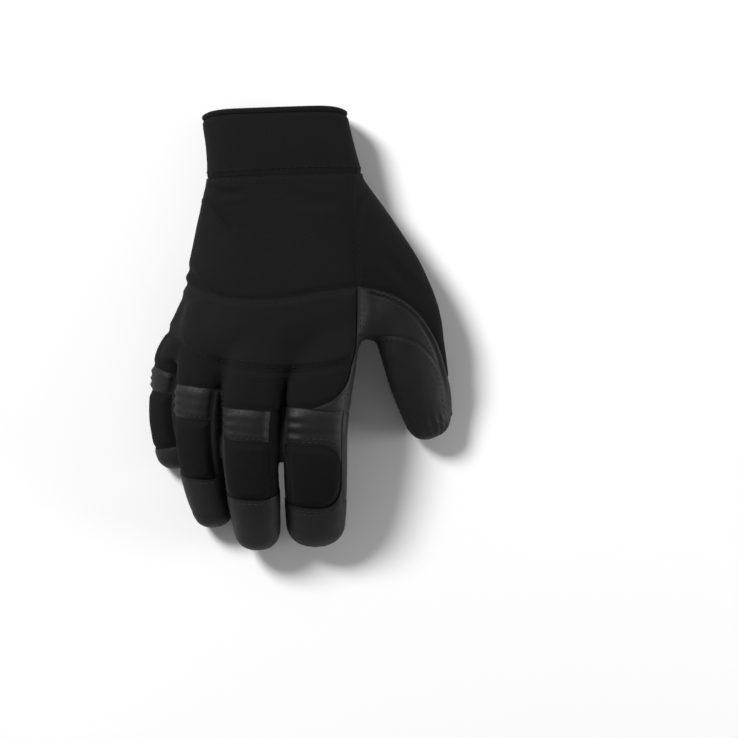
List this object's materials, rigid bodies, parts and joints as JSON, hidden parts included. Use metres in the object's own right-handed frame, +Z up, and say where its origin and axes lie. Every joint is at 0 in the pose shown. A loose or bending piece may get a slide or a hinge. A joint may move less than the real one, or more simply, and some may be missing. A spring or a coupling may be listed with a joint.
{
  "type": "work glove",
  "caption": "Black right-hand work glove of leather and stretch cloth, lying on its palm, with a padded knuckle band, ribbed finger joints and a wrist strap.",
  "frame": {"origin": "on the surface the glove rests on, below the centre of its outline", "axes": "+Z up, towards the back of the hand; +Y from the fingertips to the cuff; +X towards the thumb"},
  "size_m": [0.1526, 0.2233, 0.055],
  "materials": {
    "leather": "smooth black synthetic leather, fine grain, low sheen",
    "stretch_cloth": "matte black stretch knit",
    "padded_suede": "matte black suede cloth over thin foam",
    "elastic_knit": "matte black elastic knit",
    "loop_cloth": "black brushed loop pile",
    "moulded_trim": "black synthetic leather with a raised, double-stitched edge"
  },
  "bodies": {
    "root": {"palm_leather": "leather", "back_panel": "stretch_cloth", "knuckle_band": "padded_suede", "finger_base_panel": "stretch_cloth", "thumb_side_panel": "stretch_cloth", "thumb_saddle": "leather", "thumb_back": "leather", "cuff_band": "elastic_knit", "cuff_binding": "elastic_knit", "loop_patch": "loop_cloth", "strap_tab": "moulded_trim", "flex_ribs_index": "leather", "finger_pad_index": "stretch_cloth", "tip_wrap_index": "leather", "side_strip_index_thumb_side": "leather", "side_strip_index_little_side": "stretch_cloth", "flex_ribs_middle": "leather", "finger_pad_middle": "stretch_cloth", "tip_wrap_middle": "leather", "side_strip_middle_thumb_side": "stretch_cloth", "side_strip_middle_little_side": "stretch_cloth", "flex_ribs_ring": "leather", "finger_pad_ring": "stretch_cloth", "tip_wrap_ring": "leather", "side_strip_ring_thumb_side": "stretch_cloth", "side_strip_ring_little_side": "stretch_cloth", "flex_ribs_little": "leather", "finger_pad_little": "stretch_cloth", "tip_wrap_little": "leather", "side_strip_little_thumb_side": "stretch_cloth", "side_strip_little_little_side": "stretch_cloth"}
  },
  "joints": []
}
